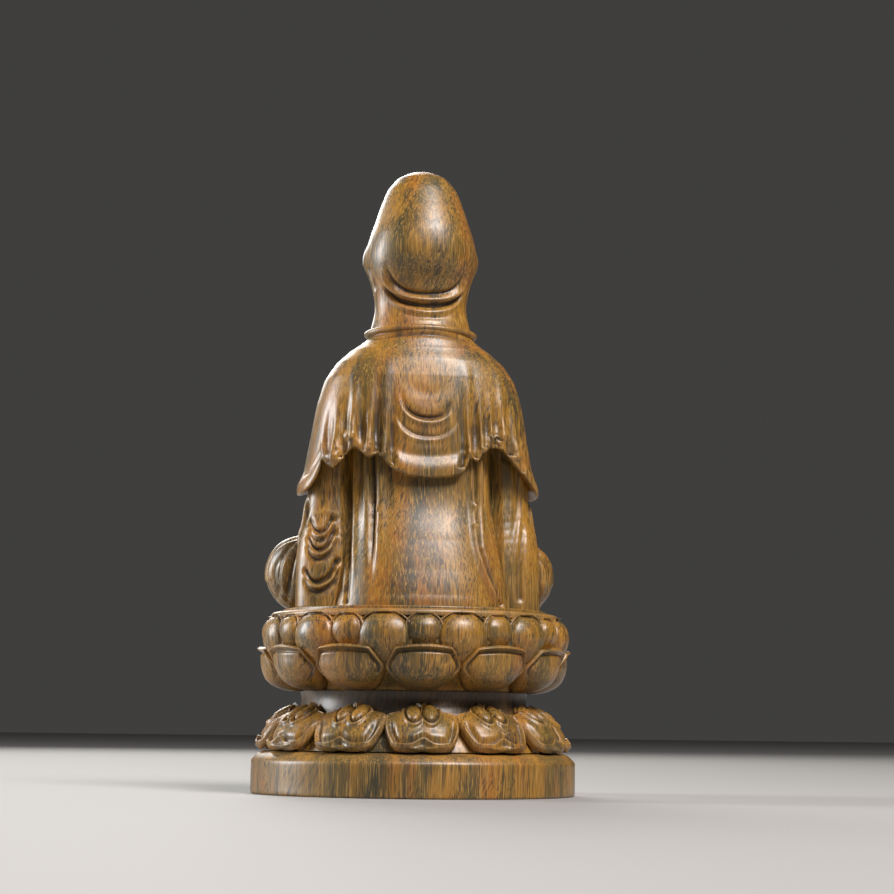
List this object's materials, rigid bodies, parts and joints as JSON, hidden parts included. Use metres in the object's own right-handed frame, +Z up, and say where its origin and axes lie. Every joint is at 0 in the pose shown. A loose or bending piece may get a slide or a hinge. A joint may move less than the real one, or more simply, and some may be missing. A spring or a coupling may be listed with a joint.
{
  "type": "seated figurine",
  "caption": "Seated robed figure in a veil and shoulder cape, hands in its lap, on a round lotus throne, carved in polished wood to stand on a desk or shelf",
  "frame": {"origin": "centre of the plinth's underside", "axes": "+Z is up; -Y is the way the figure faces; +X is the figure's own left"},
  "size_m": [0.077, 0.077, 0.15],
  "materials": {
    "polished_wood": "hand polished and waxed; golden brown with olive to green-black streaks and orange-brown patches, fine dark pores along the grain"
  },
  "bodies": {
    "root": {"plinth": "polished_wood", "lower_lotus_core": "polished_wood", "lower_petals": "polished_wood", "lower_gap_petals": "polished_wood", "lotus_waist": "polished_wood", "upper_lotus_bowl": "polished_wood", "outer_petals": "polished_wood", "middle_petals": "polished_wood", "inner_petals": "polished_wood", "seat_pad": "polished_wood", "robe_skirt": "polished_wood", "robe_body": "polished_wood", "left_leg": "polished_wood", "right_leg": "polished_wood", "left_sleeve": "polished_wood", "right_sleeve": "polished_wood", "left_hand": "polished_wood", "right_hand": "polished_wood", "shoulder_cape": "polished_wood", "collar_band": "polished_wood", "neck": "polished_wood", "head": "polished_wood", "hair": "polished_wood", "topknot": "polished_wood", "hair_ornament": "polished_wood", "left_ear": "polished_wood", "right_ear": "polished_wood", "veil": "polished_wood", "necklace": "polished_wood"}
  },
  "joints": []
}
